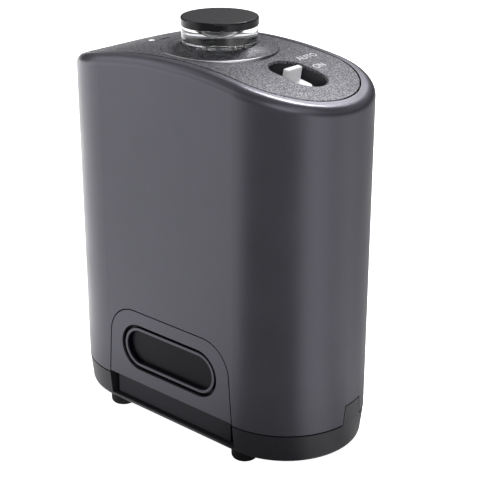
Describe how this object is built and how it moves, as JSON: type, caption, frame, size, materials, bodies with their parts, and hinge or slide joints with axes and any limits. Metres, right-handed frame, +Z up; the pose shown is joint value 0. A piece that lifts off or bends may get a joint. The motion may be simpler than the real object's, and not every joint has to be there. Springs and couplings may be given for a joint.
{
  "type": "robot vacuum virtual wall",
  "caption": "Upright stadium-shaped beacon with an arched top, clear halo emitter, slide switch and press tongue; marks a boundary for a robot vacuum.",
  "frame": {"origin": "on the floor under the middle of the case", "axes": "+Z up, press tongue faces -Y, slide switch towards +X of the emitter"},
  "size_m": [0.1, 0.048, 0.1261],
  "materials": {
    "case": "satin, metallic charcoal",
    "panel": "fine metallic speckle",
    "base": "satin",
    "lens": "clear polished plastic",
    "cap": "gloss edge, satin top",
    "knob": "satin",
    "black_plastic": "matt",
    "dark_window": "gloss",
    "led": "clear epoxy",
    "board": "satin lacquer",
    "cell": "gloss sleeve",
    "steel": "plated",
    "rubber": "matt"
  },
  "bodies": {
    "base": {"base_cover": "base", "rubber_foot_1": "rubber", "rubber_foot_2": "rubber", "rubber_foot_3": "rubber", "rubber_foot_4": "rubber", "bridge_contact": "steel", "latch_pin": "steel"},
    "housing": {"housing": "case", "top_panel": "panel", "emitter_lens": "lens", "indicator_light_pipe": "lens", "emitter_cap": "cap", "reflector_plug": "cap", "switch_guide": "black_plastic", "slide_switch_body": "black_plastic", "led_holder": "black_plastic", "beam_tube": "black_plastic", "board_components": "black_plastic", "battery_chassis": "black_plastic", "beam_window": "dark_window", "halo_led": "led", "beam_led": "led", "indicator_led": "led", "circuit_board": "board", "battery_cell_1": "cell", "battery_cell_2": "cell", "board_screws": "steel", "chassis_screws": "steel", "positive_contact": "steel", "negative_contact": "steel"},
    "latch": {"release_latch": "case"},
    "mode_switch": {"switch_knob": "knob"}
  },
  "joints": [
    {"name": "housing_lift", "type": "slide", "parent": "base", "child": "housing", "axis": [0, 0, 1], "range_m": [0, 0.06]},
    {"name": "latch_press", "type": "hinge", "parent": "base", "child": "latch", "pos_m": [0, -0.0171, 0.008], "axis": [-1, 0, 0], "range_deg": [0, 2.6], "stiffness_Nm_per_rad": 1, "springref_deg": -2.86},
    {"name": "mode_slide", "type": "slide", "parent": "housing", "child": "mode_switch", "axis": [0.9817, 0, -0.1902], "range_m": [-0.0035, 0.0035]}
  ]
}
